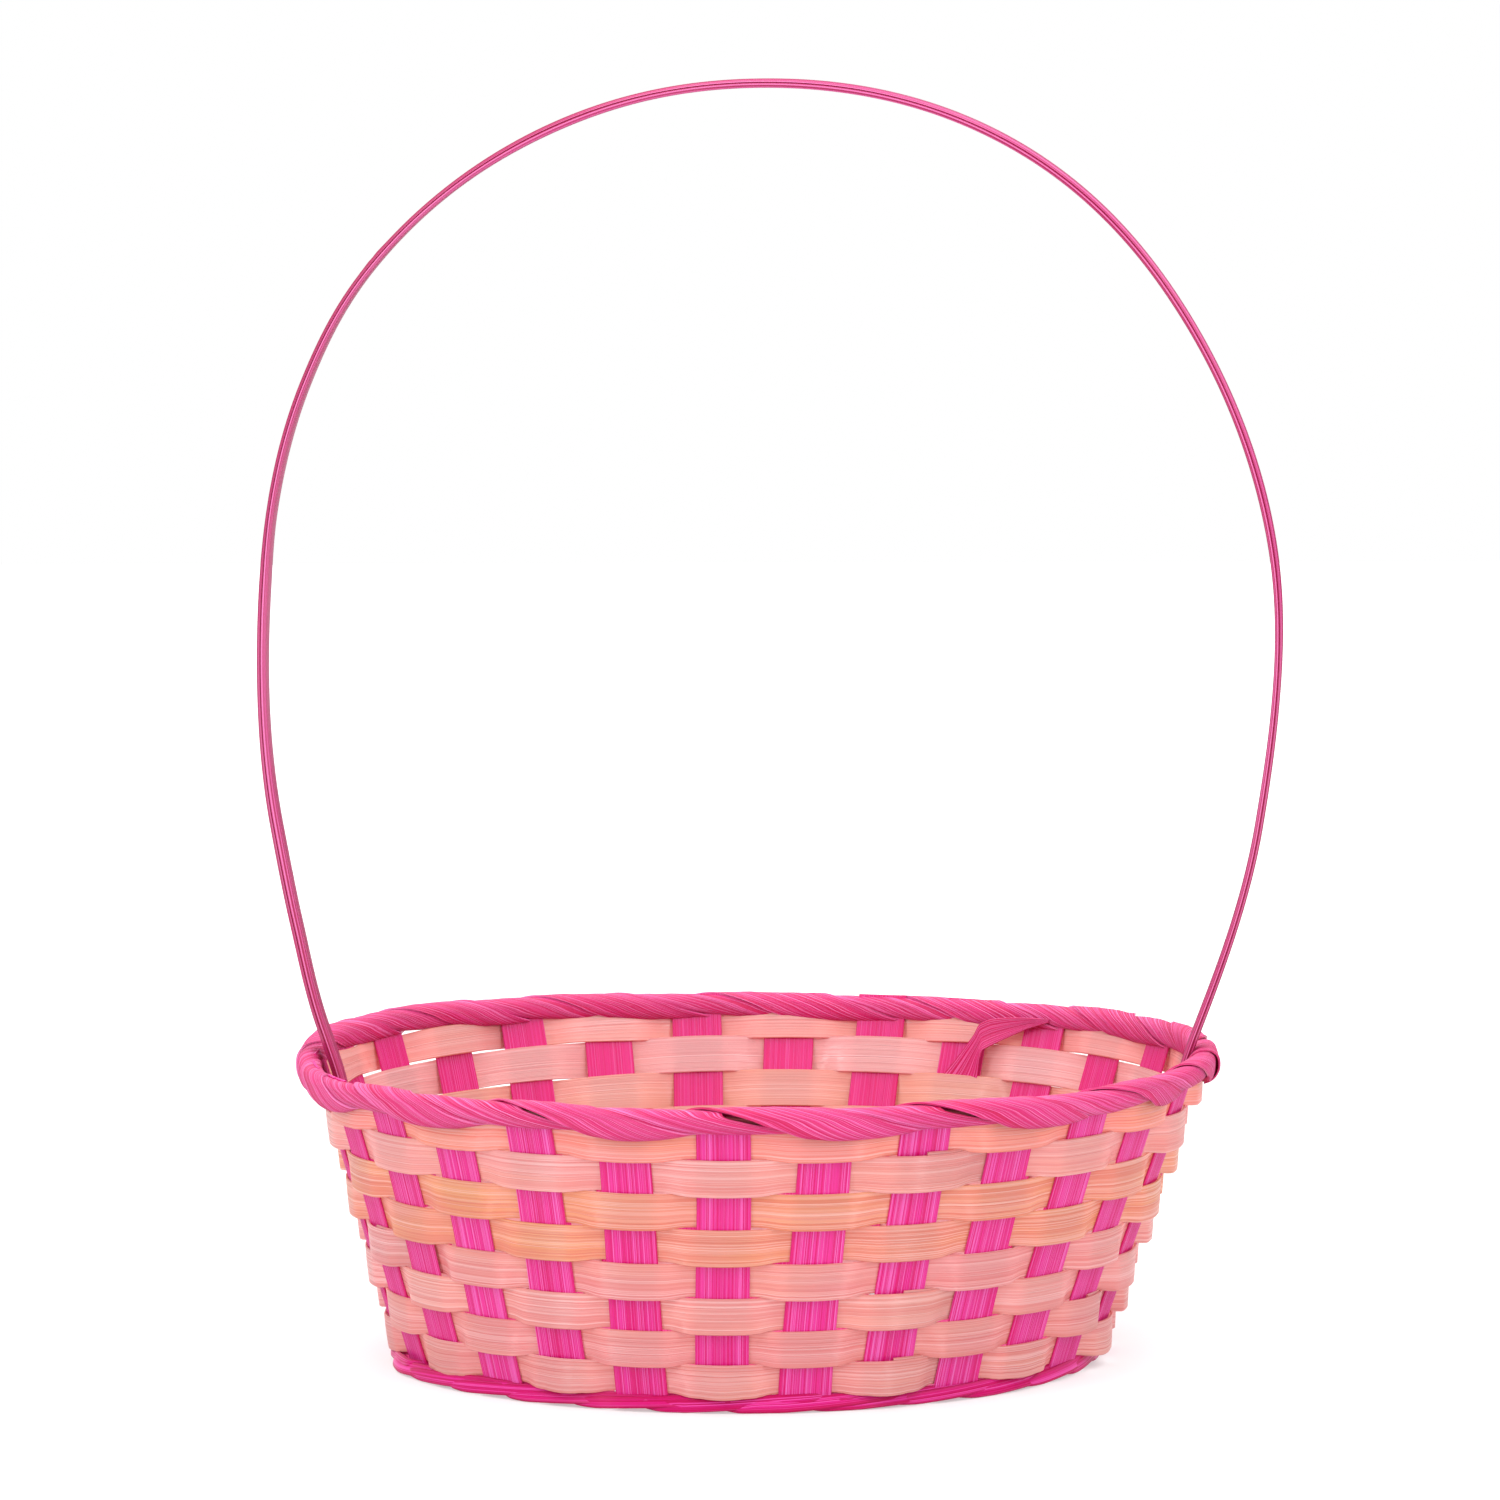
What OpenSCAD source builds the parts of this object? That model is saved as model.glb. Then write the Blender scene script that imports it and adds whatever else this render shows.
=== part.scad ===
// Round woven basket with one tall fixed hoop handle, in millimetres.
// The origin is on the floor under the middle of the basket and +Z is up.
// The handle stands in the XZ plane. Stakes are counted from the front (-Y)
// towards +X, and weaver rows are counted from the rim down.

/* [Basket body] */
// Diameter over the rim binding
rim_d = 280; // [270:1:290]
// Diameter of the wall's middle surface at the floor
foot_d = 211.4; // [205:0.2:216]
// Height of the middle of the rim above the floor
rim_z = 88.9; // [86:0.1:92]

/* [Woven strips] */
// Width of a stake strip
stake_w = 15.8; // [13:0.2:16.4]
// Thickness of a stake strip
stake_t = 0.9; // [0.7:0.1:1.1]
// Width of a weaver strip
weaver_w = 10.4; // [9.4:0.1:10.8]
// Thickness of a weaver strip
weaver_t = 0.7; // [0.5:0.1:0.8]
// Thickness of one strand of the foot twining
twine_t = 2.0; // [1.4:0.1:2.2]

/* [Rim] */
// Height of the wrapped rim
binding_h = 8.4; // [7.8:0.1:9]
// Thickness of the binding strip
binding_t = 0.6; // [0.4:0.1:0.7]

/* [Handle] */
// Height of the top of the handle above the floor
handle_top = 385.5; // [360:0.5:400]
// Greatest width over the handle
handle_span = 311; // [306:1:316]
// Width of the handle strip, front to back
handle_w = 10; // [7:0.5:11]
// Thickness of the handle strip
handle_t = 2.6; // [2:0.1:2.8]

/* [Hidden] */

stake_colour = [0.95, 0.31, 0.60];
stake_dark = [0.93, 0.24, 0.56];
weaver_colour = [0.96, 0.64, 0.61];
weaver_orange = [0.95, 0.63, 0.53];
binding_colour = [0.94, 0.37, 0.58];
twine_colour = [0.87, 0.31, 0.51];
hoop_colour = [0.80, 0.66, 0.46];
handle_colour = [0.87, 0.38, 0.57];

stakes = 28;
rows = 8;
strips_each_way = 7;
stake_step = 360 / stakes;
handle_stake = stakes / 4;

// The wall is a straight cone through the middle of the stakes.
rim_wall_r = rim_d / 2 - 4.96;
wall_slope = (rim_wall_r - foot_d / 2) / rim_z;
wall_lean = atan(wall_slope);
function wall_r(z) = foot_d / 2 + wall_slope * z;

row_pitch = rim_z / 8.316;
top_row_z = rim_z - 0.6 * row_pitch;
function row_z(row) = top_row_z - (row - 1) * row_pitch;

// How far a weaver's middle stands off the stakes' middle.
clearance = 0.05;
weave_offset = stake_t / 2 + weaver_t / 2 + clearance;
edge_margin = 0.5;

// The foot twining is a band of two strands just above the floor.
twine_low = 0.1;
twine_top = 4.0;
twine_mid = (twine_low + twine_top) / 2;
twine_offset = stake_t / 2 + twine_t / 2 + clearance;

// The floor is two layers of strips, and both layers drop to the lower one
// where they turn up into the wall.
floor_gap = 0.1;
upper_floor_z = stake_t + floor_gap;
floor_r = foot_d / 2 - 16;
foot_r = foot_d / 2 - 5;
floor_end_r = foot_r - 2;
floor_lap = 4;
floor_strip_w = stake_w - 0.1;
stake_end_z = rim_z + binding_h / 2 - 2;

hoop_gap = stake_t / 2 + weaver_t + 2 * clearance;
binding_in = 3.45;
binding_out = 4.96;

tail_stake = 11.75;
tail_w = 9;
tail_offset = 1.7;
tail_low_z = rim_z - 22;
tail_high_z = rim_z - binding_h / 2 + 0.9;
tail_len = (tail_high_z - tail_low_z) / cos(wall_lean);

// Handle: a rounded arch over the widest level, a slow inward curve down to
// the rim, and a straight leg that leans onto the stake below the rim.
handle_wide_z = 215;
arch_power = 2.14;
leg_curve = 0.00156;
leg_bend_z = rim_z - 2;
leg_tip_z = 42;
leg_tip_t = 1.0;
arch_steps = 40;
leg_steps = 14;

// ---------------------------------------------------------------- helpers

// A place in the wall: radius r, sideways distance s, at a stake's angle.
function at_stake(stake, r, s, z) =
    let (a = stake * stake_step)
    [r * sin(a) + s * cos(a), -r * cos(a) + s * sin(a), z];

// Four corners of a flat strip's section, w tall and t thick, that leans by
// an angle and stands off the stakes' middle by off.
function strip_section(stake, s, z, off, w, t, lean) =
    let (
        dr = [-t / 2, t / 2, t / 2, -t / 2],
        dw = [-w / 2, -w / 2, w / 2, w / 2]
    )
    [for (i = [0:3])
        at_stake(
            stake,
            wall_r(z) + (off + dr[i]) * cos(lean) + dw[i] * sin(lean),
            s,
            z - (off + dr[i]) * sin(lean) + dw[i] * cos(lean)
        )];

// One closed ring through a list of four-cornered sections.
module closed_ring(sections) {
    n = len(sections);
    points = [for (section = sections, corner = section) corner];
    faces = [
        for (i = [0:n - 1], j = [0:3])
            let (
                a = 4 * i + j,
                b = 4 * i + (j + 1) % 4,
                c = 4 * ((i + 1) % n) + (j + 1) % 4,
                d = 4 * ((i + 1) % n) + j
            )
            each [[a, c, b], [a, d, c]]
    ];
    polyhedron(points, faces);
}

// ---------------------------------------------------------- stake strips

// Distance of floor strip i from the middle line, so that all the stakes
// stand evenly round the foot.
function strip_place(i) = foot_d / 2 * sin((i - 4) * stake_step);

// The part of a strip that lies on the floor, along Y. It is a hair narrower
// than the stakes, so that no side faces coincide.
module floor_strip(i, z) {
    intersection() {
        translate([strip_place(i) - floor_strip_w / 2, -foot_r, z])
            cube([floor_strip_w, 2 * foot_r, stake_t]);
        translate([0, 0, z - stake_t])
            cylinder(r = floor_end_r, h = 3 * stake_t, $fn = 112);
    }
}

// A stake with its foot, seen from the side: from the floor strip's end down
// to the foot's edge and up the wall.
module stake_profile(z) {
    half_t = stake_t / 2 / cos(wall_lean);
    polygon([
        [floor_r - floor_lap, z],
        [floor_r, z],
        [foot_r, 0],
        [wall_r(0) + half_t, 0],
        [wall_r(stake_end_z) + half_t, stake_end_z],
        [wall_r(stake_end_z) - half_t, stake_end_z],
        [wall_r(stake_t) - half_t, stake_t],
        [foot_r, stake_t],
        [floor_r, z + stake_t],
        [floor_r - floor_lap, z + stake_t]
    ]);
}

module standing_stake(angle, z) {
    rotate([90, 0, angle - 90])
        linear_extrude(height = stake_w, center = true)
            stake_profile(z);
}

// One whole strip: up one wall, across the floor and up the opposite wall.
module stake_strip(i, z) {
    angle = (i - 4) * stake_step;
    floor_strip(i, z);
    standing_stake(angle, z);
    standing_stake(180 - angle, z);
}

// Strips 1 to 7 run front to back, and strips 8 to 14 run side to side.
module numbered_strip(number) {
    if (number <= strips_each_way) {
        color(stake_colour) stake_strip(number, 0);
    } else {
        color(stake_dark)
            rotate([0, 0, 90]) stake_strip(number - strips_each_way, upper_floor_z);
    }
}

// --------------------------------------------------------------- weavers

// The bottom row stands on the foot twining, so it is a little narrower.
function row_top(row) = row_z(row) + weaver_w / 2 * cos(wall_lean);
function row_bottom(row) =
    max(row_z(row) - weaver_w / 2 * cos(wall_lean), twine_top + clearance);

// A weaver runs outside a stake where row and stake are both odd or both
// even, and inside it elsewhere. A leg of the handle pushes it further in.
function weaver_offset(row, stake) =
    (row + stake) % 2 == 0
        ? weave_offset
        : -weave_offset - (beside_leg(row, stake) ? leg_push(row_top(row)) : 0);

function beside_leg(row, stake) =
    stake % (2 * handle_stake) == handle_stake && row_top(row) > leg_tip_z;

module weaver(row) {
    middle = (row_top(row) + row_bottom(row)) / 2;
    width = (row_top(row) - row_bottom(row)) / cos(wall_lean);
    closed_ring([
        for (stake = [0:stakes - 1], side = [-1, 1])
            strip_section(
                stake,
                side * (stake_w / 2 + edge_margin),
                middle,
                weaver_offset(row, stake),
                width,
                weaver_t,
                wall_lean
            )
    ]);
}

module numbered_weaver(row) {
    color(row % 2 == 0 ? weaver_colour : weaver_orange) weaver(row);
}

// ----------------------------------------------------------- foot twining

// One of two strands that pass each other between every pair of stakes. The
// strand that is on its way out of the basket crosses over the other, and
// inside the basket a strand stands on the floor strips.
module twine_strand(strand) {
    closed_ring([
        for (stake = [0:stakes - 1], place = [-1, 1, 2])
            let (
                outside = (stake + strand) % 2 == 0,
                crossing = place == 2,
                low = crossing ? (outside ? twine_low : twine_mid + clearance)
                    : outside ? twine_low : stake_t + 2 * clearance,
                high = crossing && outside ? twine_mid - clearance : twine_top
            )
            strip_section(
                crossing ? stake + 0.5 : stake,
                crossing ? 0 : place * (stake_w / 2 + edge_margin),
                (low + high) / 2,
                crossing ? 0 : (outside ? twine_offset : -twine_offset),
                high - low,
                twine_t,
                0
            )
    ]);
}

module foot_twine_1() {
    color(twine_colour) twine_strand(0);
}

module foot_twine_2() {
    color(twine_colour) twine_strand(1);
}

// ------------------------------------------------------------------- rim

// A band that follows the wall's lean between two distances from the
// stakes' middle, taller than the rim.
module leaning_band(near, far) {
    low = rim_z - binding_h;
    high = rim_z + binding_h;
    rotate_extrude($fn = 112)
        polygon([
            [wall_r(low) + near, low],
            [wall_r(low) + far, low],
            [wall_r(high) + far, high],
            [wall_r(high) + near, high]
        ]);
}

// A hoop fills the wrapping's inside on one side of the stake ends.
module rim_hoop_outer() {
    color(hoop_colour)
        intersection() {
            rotate_extrude($fn = 112) polygon(rim_outline(binding_t + clearance));
            leaning_band(hoop_gap, binding_h);
        }
}

module rim_hoop_inner() {
    color(hoop_colour)
        intersection() {
            rotate_extrude($fn = 112) polygon(rim_outline(binding_t + clearance));
            leaning_band(-binding_h, -hoop_gap);
        }
}

// Rounded outline of the wrapped rim, or of the space inside the wrapping.
function rim_outline(shrink) =
    let (
        half_w = (binding_in + binding_out) / 2 - shrink,
        half_h = binding_h / 2 - shrink,
        middle = rim_wall_r + (binding_out - binding_in) / 2
    )
    [for (a = [0:15:345])
        [
            middle + half_w * sign(cos(a)) * pow(abs(cos(a)), 0.7)
                + wall_slope * half_h * 0.5 * sin(a),
            rim_z + half_h * sign(sin(a)) * pow(abs(sin(a)), 0.7)
        ]];

// The loose end of the binding strip, which hangs down inside the wall.
module binding_tail() {
    rotate([0, 0, tail_stake * stake_step])
        translate([0, tail_offset - wall_r(tail_low_z), tail_low_z])
            rotate([wall_lean, 0, 0])
                translate([-tail_w / 2, 0, 0])
                    cube([tail_w, binding_t, tail_len]);
}

// The binding as one sleeve round the rim, open along the bottom, where the
// stakes and the top weaver enter it.
module rim_binding() {
    slot = hoop_gap + clearance;
    low = rim_z - binding_h;
    color(binding_colour) {
        binding_tail();
        difference() {
            rotate_extrude($fn = 112) polygon(rim_outline(0));
            rotate_extrude($fn = 112) polygon(rim_outline(binding_t));
            rotate_extrude($fn = 112)
                polygon([
                    [wall_r(low) - slot, low],
                    [wall_r(low) + slot, low],
                    [wall_r(rim_z) + slot, rim_z],
                    [wall_r(rim_z) - slot, rim_z]
                ]);
        }
    }
}

// ---------------------------------------------------------------- handle

// Outer half width of the handle at a height above the rim.
function handle_x(z) =
    z >= handle_wide_z
        ? handle_span / 2 * pow(
              1 - pow((z - handle_wide_z) / (handle_top - handle_wide_z), arch_power),
              1 / arch_power)
        : handle_span / 2 - leg_curve * pow(handle_wide_z - z, 2);

// The leg's tip rests on the inner face of its stake.
leg_tip_x = wall_r(leg_tip_z) - (stake_t / 2 + clearance) / cos(wall_lean);

function leg_x(z) =
    leg_tip_x + (handle_x(leg_bend_z) - leg_tip_x)
        * (z - leg_tip_z) / (leg_bend_z - leg_tip_z);

// How much further a weaver has to stand in to pass round the leg.
function leg_push(z) =
    (wall_r(z) - leg_x(z) - stake_t / 2) * cos(wall_lean) + handle_t + 2 * clearance;

// Right half of the handle's outer edge, from the leg's tip to the top.
arch_edge = concat(
    [[leg_tip_x, leg_tip_z]],
    [for (i = [0:leg_steps])
        let (z = leg_bend_z + (handle_wide_z - leg_bend_z) * i / leg_steps)
        [handle_x(z), z]],
    [for (i = [1:arch_steps])
        let (
            a = 90 * i / arch_steps,
            x = handle_span / 2 * pow(cos(a), 2 / arch_power),
            z = handle_wide_z + (handle_top - handle_wide_z) * pow(sin(a), 2 / arch_power)
        )
        [x, z]]
);

// The strip's thickness is full above the rim and thin at the leg's tip.
function strip_t(z) =
    z >= leg_bend_z
        ? handle_t
        : leg_tip_t + (handle_t - leg_tip_t) * (z - leg_tip_z) / (leg_bend_z - leg_tip_z);

// Direction into the loop at point i of the outer edge.
function inward(i) =
    let (
        last = len(arch_edge) - 1,
        a = arch_edge[max(i - 1, 0)],
        b = i == last ? [-arch_edge[last - 1][0], arch_edge[last - 1][1]] : arch_edge[i + 1],
        d = (b - a) / norm(b - a)
    )
    [-d[1], d[0]];

inner_edge = [
    for (i = [0:len(arch_edge) - 1])
        arch_edge[i] + strip_t(arch_edge[i][1]) * inward(i)
];

function mirrored(points) =
    [for (i = [len(points) - 2:-1:0]) [-points[i][0], points[i][1]]];

function backwards(points) = [for (i = [len(points) - 1:-1:0]) points[i]];

module handle() {
    outer = concat(arch_edge, mirrored(arch_edge));
    inner = concat(inner_edge, mirrored(inner_edge));
    color(handle_colour)
        rotate([90, 0, 0])
            linear_extrude(height = handle_w, center = true)
                polygon(concat(outer, backwards(inner)));
}

// -------------------------------------------------------------- assembly

numbered_strip(1);  // stake_strip_01
numbered_strip(2);  // stake_strip_02
numbered_strip(3);  // stake_strip_03
numbered_strip(4);  // stake_strip_04
numbered_strip(5);  // stake_strip_05
numbered_strip(6);  // stake_strip_06
numbered_strip(7);  // stake_strip_07
numbered_strip(8);  // stake_strip_08
numbered_strip(9);  // stake_strip_09
numbered_strip(10);  // stake_strip_10
numbered_strip(11);  // stake_strip_11
numbered_strip(12);  // stake_strip_12
numbered_strip(13);  // stake_strip_13
numbered_strip(14);  // stake_strip_14
numbered_weaver(1);  // weaver_row_1
numbered_weaver(2);  // weaver_row_2
numbered_weaver(3);  // weaver_row_3
numbered_weaver(4);  // weaver_row_4
numbered_weaver(5);  // weaver_row_5
numbered_weaver(6);  // weaver_row_6
numbered_weaver(7);  // weaver_row_7
numbered_weaver(8);  // weaver_row_8
foot_twine_1();
foot_twine_2();
rim_hoop_outer();
rim_hoop_inner();
rim_binding();
handle();
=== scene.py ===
"""Looks of the round woven basket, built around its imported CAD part.

Shapes are worked out in millimetres, in the frame of the part: the origin is on the
floor under the middle of the basket, +Z is up and the handle stands in the XZ plane.
Places round the basket are counted in stakes, from the front (-Y) towards +X: 7 is the
right end, 14 or -14 the back and -7 the left end.
"""

import math

import bpy
import numpy as np
from mathutils import Matrix, Vector, noise


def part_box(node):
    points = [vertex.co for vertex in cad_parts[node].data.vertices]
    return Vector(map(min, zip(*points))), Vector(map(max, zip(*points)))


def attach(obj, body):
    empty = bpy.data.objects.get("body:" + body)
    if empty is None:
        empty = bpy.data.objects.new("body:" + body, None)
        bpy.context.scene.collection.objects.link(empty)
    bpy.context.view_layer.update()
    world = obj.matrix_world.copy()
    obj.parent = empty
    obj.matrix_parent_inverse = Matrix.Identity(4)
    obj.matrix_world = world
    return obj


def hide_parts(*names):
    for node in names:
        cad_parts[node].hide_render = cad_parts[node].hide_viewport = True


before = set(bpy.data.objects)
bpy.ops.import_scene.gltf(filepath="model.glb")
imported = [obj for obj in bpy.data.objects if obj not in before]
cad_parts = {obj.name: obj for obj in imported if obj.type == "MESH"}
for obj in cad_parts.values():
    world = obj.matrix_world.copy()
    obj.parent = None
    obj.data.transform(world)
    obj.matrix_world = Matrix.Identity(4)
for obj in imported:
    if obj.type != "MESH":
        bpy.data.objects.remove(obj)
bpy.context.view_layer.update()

MM = 0.001
STAKES = 28
ROWS = 8
STRIPS_EACH_WAY = 7
STAKE_ANGLE = 2 * math.pi / STAKES


def box_mm(node):
    low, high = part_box(node)
    return low / MM, high / MM


# ------------------------------------------------------------ sizes from the frame

hoop_low, hoop_high = box_mm("rim_hoop_outer")
binding_high = box_mm("rim_binding")[1]
handle_low, handle_high = box_mm("handle")
row_boxes = [box_mm(f"weaver_row_{row}") for row in range(1, ROWS + 1)]
stake_high = box_mm("stake_strip_04")[1]

RIM_Z = (hoop_low.z + hoop_high.z) / 2
RIM_R = binding_high.x
BINDING_T = 0.6
HALF_H = binding_high.z - RIM_Z

# Even rows pass outside the stake at +Y, so their boxes give the wall's slope.
WALL_SLOPE = (row_boxes[1][1].y - row_boxes[5][1].y) / (row_boxes[1][1].z - row_boxes[5][1].z)
WALL_LEAN = math.atan(WALL_SLOPE)
STAKE_T = 0.7
STAKE_W = 15.8
WEAVER_T = 0.7
# How far a weaver's middle lies outside or inside the wall's, here and in the CAD part.
WEAVE_OFF = 0.75
CAD_WEAVE_OFF = 0.85
# The radius of the wall's middle at z = 0.
WALL_R0 = (
    row_boxes[1][1].y
    - (CAD_WEAVE_OFF + WEAVER_T / 2) / math.cos(WALL_LEAN)
    - WALL_SLOPE * row_boxes[1][1].z
)
ROW_PITCH = (row_boxes[0][1].z - row_boxes[6][1].z) / 6
STAKE_END = stake_high.z

HANDLE_TOP = handle_high.z
HANDLE_R = handle_high.x
HANDLE_W = handle_high.y - handle_low.y
HANDLE_T = 2.8
HANDLE_WIDE_Z = 215.0
# The arch over the widest place is a superellipse, and the legs under it are parabolas.
ARCH_POWER = 2.11
LEG_CURVE = 0.00156
LEG_TIP_Z = handle_low.z

# How far the whole basket leans towards +X at some heights.
LEAN_HEIGHTS = (0, 89, 160, 232, 313, 386)
LEAN_SHIFTS = (0, 3.0, 5.3, 6.9, 4.9, 7.2)


def wall_r(z):
    return WALL_R0 + WALL_SLOPE * z


def row_z(row):
    first = row_boxes[0]
    return (first[0].z + first[1].z) / 2 - (row - 1) * ROW_PITCH


def smooth(x, low, high):
    """0 below low, 1 above high, and a smooth step between them."""
    t = np.clip((x - low) / (high - low), 0, 1)
    return t * t * (3 - 2 * t)


def around(values, stake):
    """Value at a place on the ring, eased between the values listed for whole stakes."""
    half = STAKES // 2
    listed = np.array([values.get((k + half) % STAKES - half, 0.0) for k in range(STAKES + 1)])
    place = np.mod(stake, STAKES)
    before = np.floor(place).astype(int)
    share = smooth(place - before, 0, 1)
    return listed[before] * (1 - share) + listed[before + 1] * share


def lean_at(z):
    shift = LEAN_SHIFTS[0]
    for i in range(len(LEAN_HEIGHTS) - 1):
        step = smooth(z, LEAN_HEIGHTS[i], LEAN_HEIGHTS[i + 1])
        shift = shift + (LEAN_SHIFTS[i + 1] - LEAN_SHIFTS[i]) * step
    return shift


def wander(seed, x, scale):
    """Smooth seeded wander from about -1 to 1 along x, with features of that scale."""
    return 1.6 * noise.noise(Vector((x / scale, seed * 7.31 + 0.5, 0.37)))


def wanders(seed, xs, scale):
    return np.array([wander(seed, float(x), scale) for x in xs])


# ------------------------------------------------------------------ mesh helpers

SHARP_ANGLE = math.radians(48)


def make_piece(name, points, faces, grain, wood, slot, nodes=(), tones=None):
    """A mesh piece from points in mm.

    grain holds a (u, v) in mm for each corner of each face. tones holds a (pale, dark) for
    each: pale is 1 on edges that show bare undyed wood with a painted highlight on them, and
    it also paints light onto some faces; dark is 1 where shade is painted in with the deepest dye.
    """
    points = np.array(points, float)
    points[:, 0] += lean_at(points[:, 2])
    mesh = bpy.data.meshes.new(name)
    mesh.from_pydata((points * MM).tolist(), [], faces)
    layer = mesh.uv_layers.new(name="grain")
    layer.data.foreach_set("uv", np.array(grain, np.float32).ravel())
    if tones is None:
        tones = np.zeros((len(grain), 2))
    layer = mesh.uv_layers.new(name="tones")
    layer.data.foreach_set("uv", np.array(tones, np.float32).ravel())
    mesh.shade_smooth()
    mesh.set_sharp_from_angle(angle=SHARP_ANGLE)
    mesh.materials.append(wood)
    piece = bpy.data.objects.new(name, mesh)
    bpy.context.scene.collection.objects.link(piece)
    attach(piece, "root")
    if nodes:
        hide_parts(*nodes)
    return piece


def flat_section(width, thick, crown, columns):
    """Outline of a thin strip: (across, out) points round it, with softened edges.

    Its edges lie lower than its middle by crown, or higher where crown is negative.
    """
    edge = min(0.35 * thick, 0.3)
    half = width / 2
    across = np.linspace(-half + edge, half - edge, columns)
    lift = -crown * (across / half) ** 2
    outer = np.stack([across, lift + thick / 2], 1)
    inner = np.stack([across[::-1], lift[::-1] - thick / 2], 1)
    return np.concatenate([outer, [[half, -crown]], inner, [[-half, -crown]]])


def sweep(centres, across, out, sections, along, shift=(0, 0), closed=False):
    """Points, faces and grain of a solid swept through stations.

    Every station has a centre, an across and an out direction and a section, and along
    is its distance along the strip. The grain's u runs round the section and its v along
    the strip. The faces look outwards whichever way round across and out are.
    """
    centres = np.asarray(centres, float)
    sections = np.asarray(sections, float)
    across = np.asarray(across, float)
    out = np.asarray(out, float)
    count, sides = sections.shape[:2]
    points = (
        centres[:, None, :]
        + sections[:, :, 0, None] * across[:, None, :]
        + sections[:, :, 1, None] * out[:, None, :]
    )
    turned = np.dot(np.cross(across[0], out[0]), centres[1] - centres[0]) > 0
    mean = sections.mean(axis=0)
    steps = np.linalg.norm(np.roll(mean, -1, 0) - mean, axis=1)
    u = np.concatenate([[0], np.cumsum(steps)]) + shift[0]
    v = np.asarray(along, float) + shift[1]
    faces = []
    grain = []

    def face(corners, uvs):
        faces.append(corners[::-1] if turned else corners)
        grain.extend(uvs[::-1] if turned else uvs)

    last = count if closed else count - 1
    for i in range(last):
        k = (i + 1) % count
        v_next = v[k] if k else v[-1] + (v[-1] - v[-2])
        for j in range(sides):
            m = (j + 1) % sides
            face(
                (i * sides + j, i * sides + m, k * sides + m, k * sides + j),
                [(u[j], v[i]), (u[j + 1], v[i]), (u[j + 1], v_next), (u[j], v_next)],
            )
    if not closed:
        for i, order in ((0, range(sides - 1, -1, -1)), (count - 1, range(sides))):
            face(
                tuple(i * sides + j for j in order),
                [(sections[i, j, 0] + shift[0], v[i] + sections[i, j, 1]) for j in order],
            )
    return points.reshape(-1, 3), faces, grain


def ring_tones(stations, tones):
    """Tones of an open sweep whose faces round the section have those (pale, dark)."""
    ring = np.repeat(np.array(tones, float), 4, axis=0)
    return np.concatenate([np.tile(ring, (stations - 1, 1)), np.zeros((2 * len(tones), 2))])


def flat_tones(outer, inner, edge=(0, 0)):
    """Tones round a flat section: a list for the outer face's parts, and one for each other."""
    return [*outer, edge, edge, *[inner] * len(outer), edge, edge]


def ring_frame(stake, lean):
    """Up the wall and out of it, at a place on the ring where it leans outwards by that."""
    a = stake * STAKE_ANGLE
    s, c = np.sin(a), np.cos(a)
    cl, sl = np.cos(lean) + 0 * a, np.sin(lean) + 0 * a
    up = np.stack([s * sl, -c * sl, cl], -1)
    out = np.stack([s * cl, -c * cl, -sl], -1)
    return up, out


def ring_point(stake, r, z):
    a = stake * STAKE_ANGLE
    return np.stack([r * np.sin(a), -r * np.cos(a), z + 0 * a], -1)


# --------------------------------------------------------------------- materials


def srgb(r, g, b):
    """Linear colour from 0 to 255 display values."""
    shares = [value / 255 for value in (r, g, b)]
    return tuple(v / 12.92 if v < 0.04045 else ((v + 0.055) / 1.055) ** 2.4 for v in shares)


def dye(colour, depth):
    """The colour with its dye deeper (above 1) or thinner (below 1)."""
    return tuple(channel ** depth for channel in colour)


def grain_noise(tree, grain, across, along, detail, seed):
    """Noise stretched along the strip: across and along are features per mm."""
    place = tree.nodes.new("ShaderNodeMapping")
    place.inputs["Scale"].default_value = (across, along, 1)
    place.inputs["Location"].default_value = (seed * 3.7, seed * 1.9, seed)
    tree.links.new(grain, place.inputs["Vector"])
    made = tree.nodes.new("ShaderNodeTexNoise")
    made.inputs["Scale"].default_value = 1
    made.inputs["Detail"].default_value = detail
    made.inputs["Roughness"].default_value = 0.6
    tree.links.new(place.outputs["Vector"], made.inputs["Vector"])
    return made.outputs["Fac"]


def mixed(tree, kind, amount, first, second):
    """Colour mix: amount is a number or a socket, first and second sockets or colours."""
    made = tree.nodes.new("ShaderNodeMix")
    made.data_type = "RGBA"
    made.blend_type = kind
    for key, value in ((0, amount), (6, first), (7, second)):
        socket = made.inputs[key]
        if isinstance(value, bpy.types.NodeSocket):
            tree.links.new(value, socket)
        elif key:
            socket.default_value = (*value, 1)
        else:
            socket.default_value = value
    return made.outputs[2]


def band(tree, value, low, high, top=1.0):
    """0 where value is at low, rising to top at high; low may be above high."""
    made = tree.nodes.new("ShaderNodeMapRange")
    made.inputs["From Min"].default_value = low
    made.inputs["From Max"].default_value = high
    made.inputs["To Max"].default_value = top
    tree.links.new(value, made.inputs["Value"])
    return made.outputs["Result"]


def math_node(tree, operation, *values):
    """Result of a math node whose inputs are sockets or numbers."""
    made = tree.nodes.new("ShaderNodeMath")
    made.operation = operation
    for socket, value in zip(made.inputs, values):
        if isinstance(value, bpy.types.NodeSocket):
            tree.links.new(value, socket)
        else:
            socket.default_value = value
    return made.outputs[0]


def fibre_lines(tree, value, level, half):
    """Thin lines where the noise crosses a level: 1 on the line and 0 half away from it."""
    away = math_node(tree, "ABSOLUTE", math_node(tree, "SUBTRACT", value, level))
    return band(tree, away, half, 0.0)


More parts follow.
